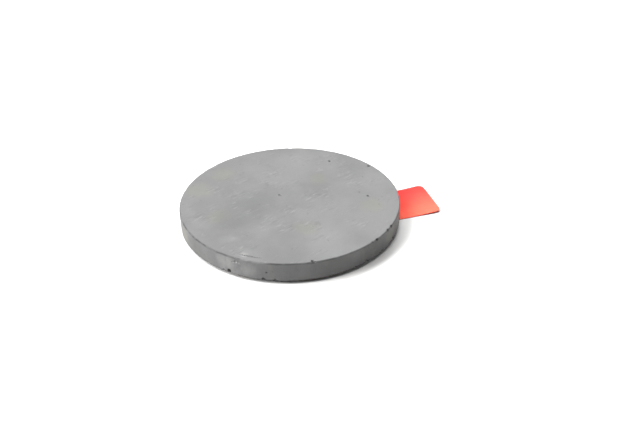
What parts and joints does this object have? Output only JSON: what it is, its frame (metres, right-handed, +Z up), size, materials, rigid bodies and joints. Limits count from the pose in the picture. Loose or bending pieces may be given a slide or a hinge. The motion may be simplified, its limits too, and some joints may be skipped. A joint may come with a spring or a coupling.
{
  "type": "self-adhesive disc magnet",
  "caption": "Flat round ferrite magnet with double-sided foam tape on its underside and a red release film whose pull tab sticks out past the rim.",
  "frame": {"origin": "centre of the release film's flat underside, which lies on the surface", "axes": "+Z up, out of the magnet's bare face; +X along the pull tab, away from the disc; +Y to the tab's left seen from above"},
  "size_m": [0.0673, 0.057, 0.0058],
  "materials": {
    "ferrite": "matte",
    "foam": "matte",
    "adhesive": "satin",
    "release_film": "satin"
  },
  "bodies": {
    "magnet": {"ferrite_disc": "ferrite", "magnet_side_adhesive": "adhesive", "foam_carrier": "foam", "surface_side_adhesive": "adhesive"},
    "film": {"release_liner": "release_film"},
    "tab": {"pull_tab": "release_film"}
  },
  "joints": [
    {"name": "film_peel", "type": "slide", "parent": "magnet", "child": "film", "axis": [0, 0, -1], "range_m": [0, 0.02]},
    {"name": "tab_fold", "type": "hinge", "parent": "film", "child": "tab", "pos_m": [0.0291, -0.0027, 0.00013], "axis": [0, -1, 0], "range_deg": [-4, 85], "stiffness_Nm_per_rad": 0.00013}
  ]
}
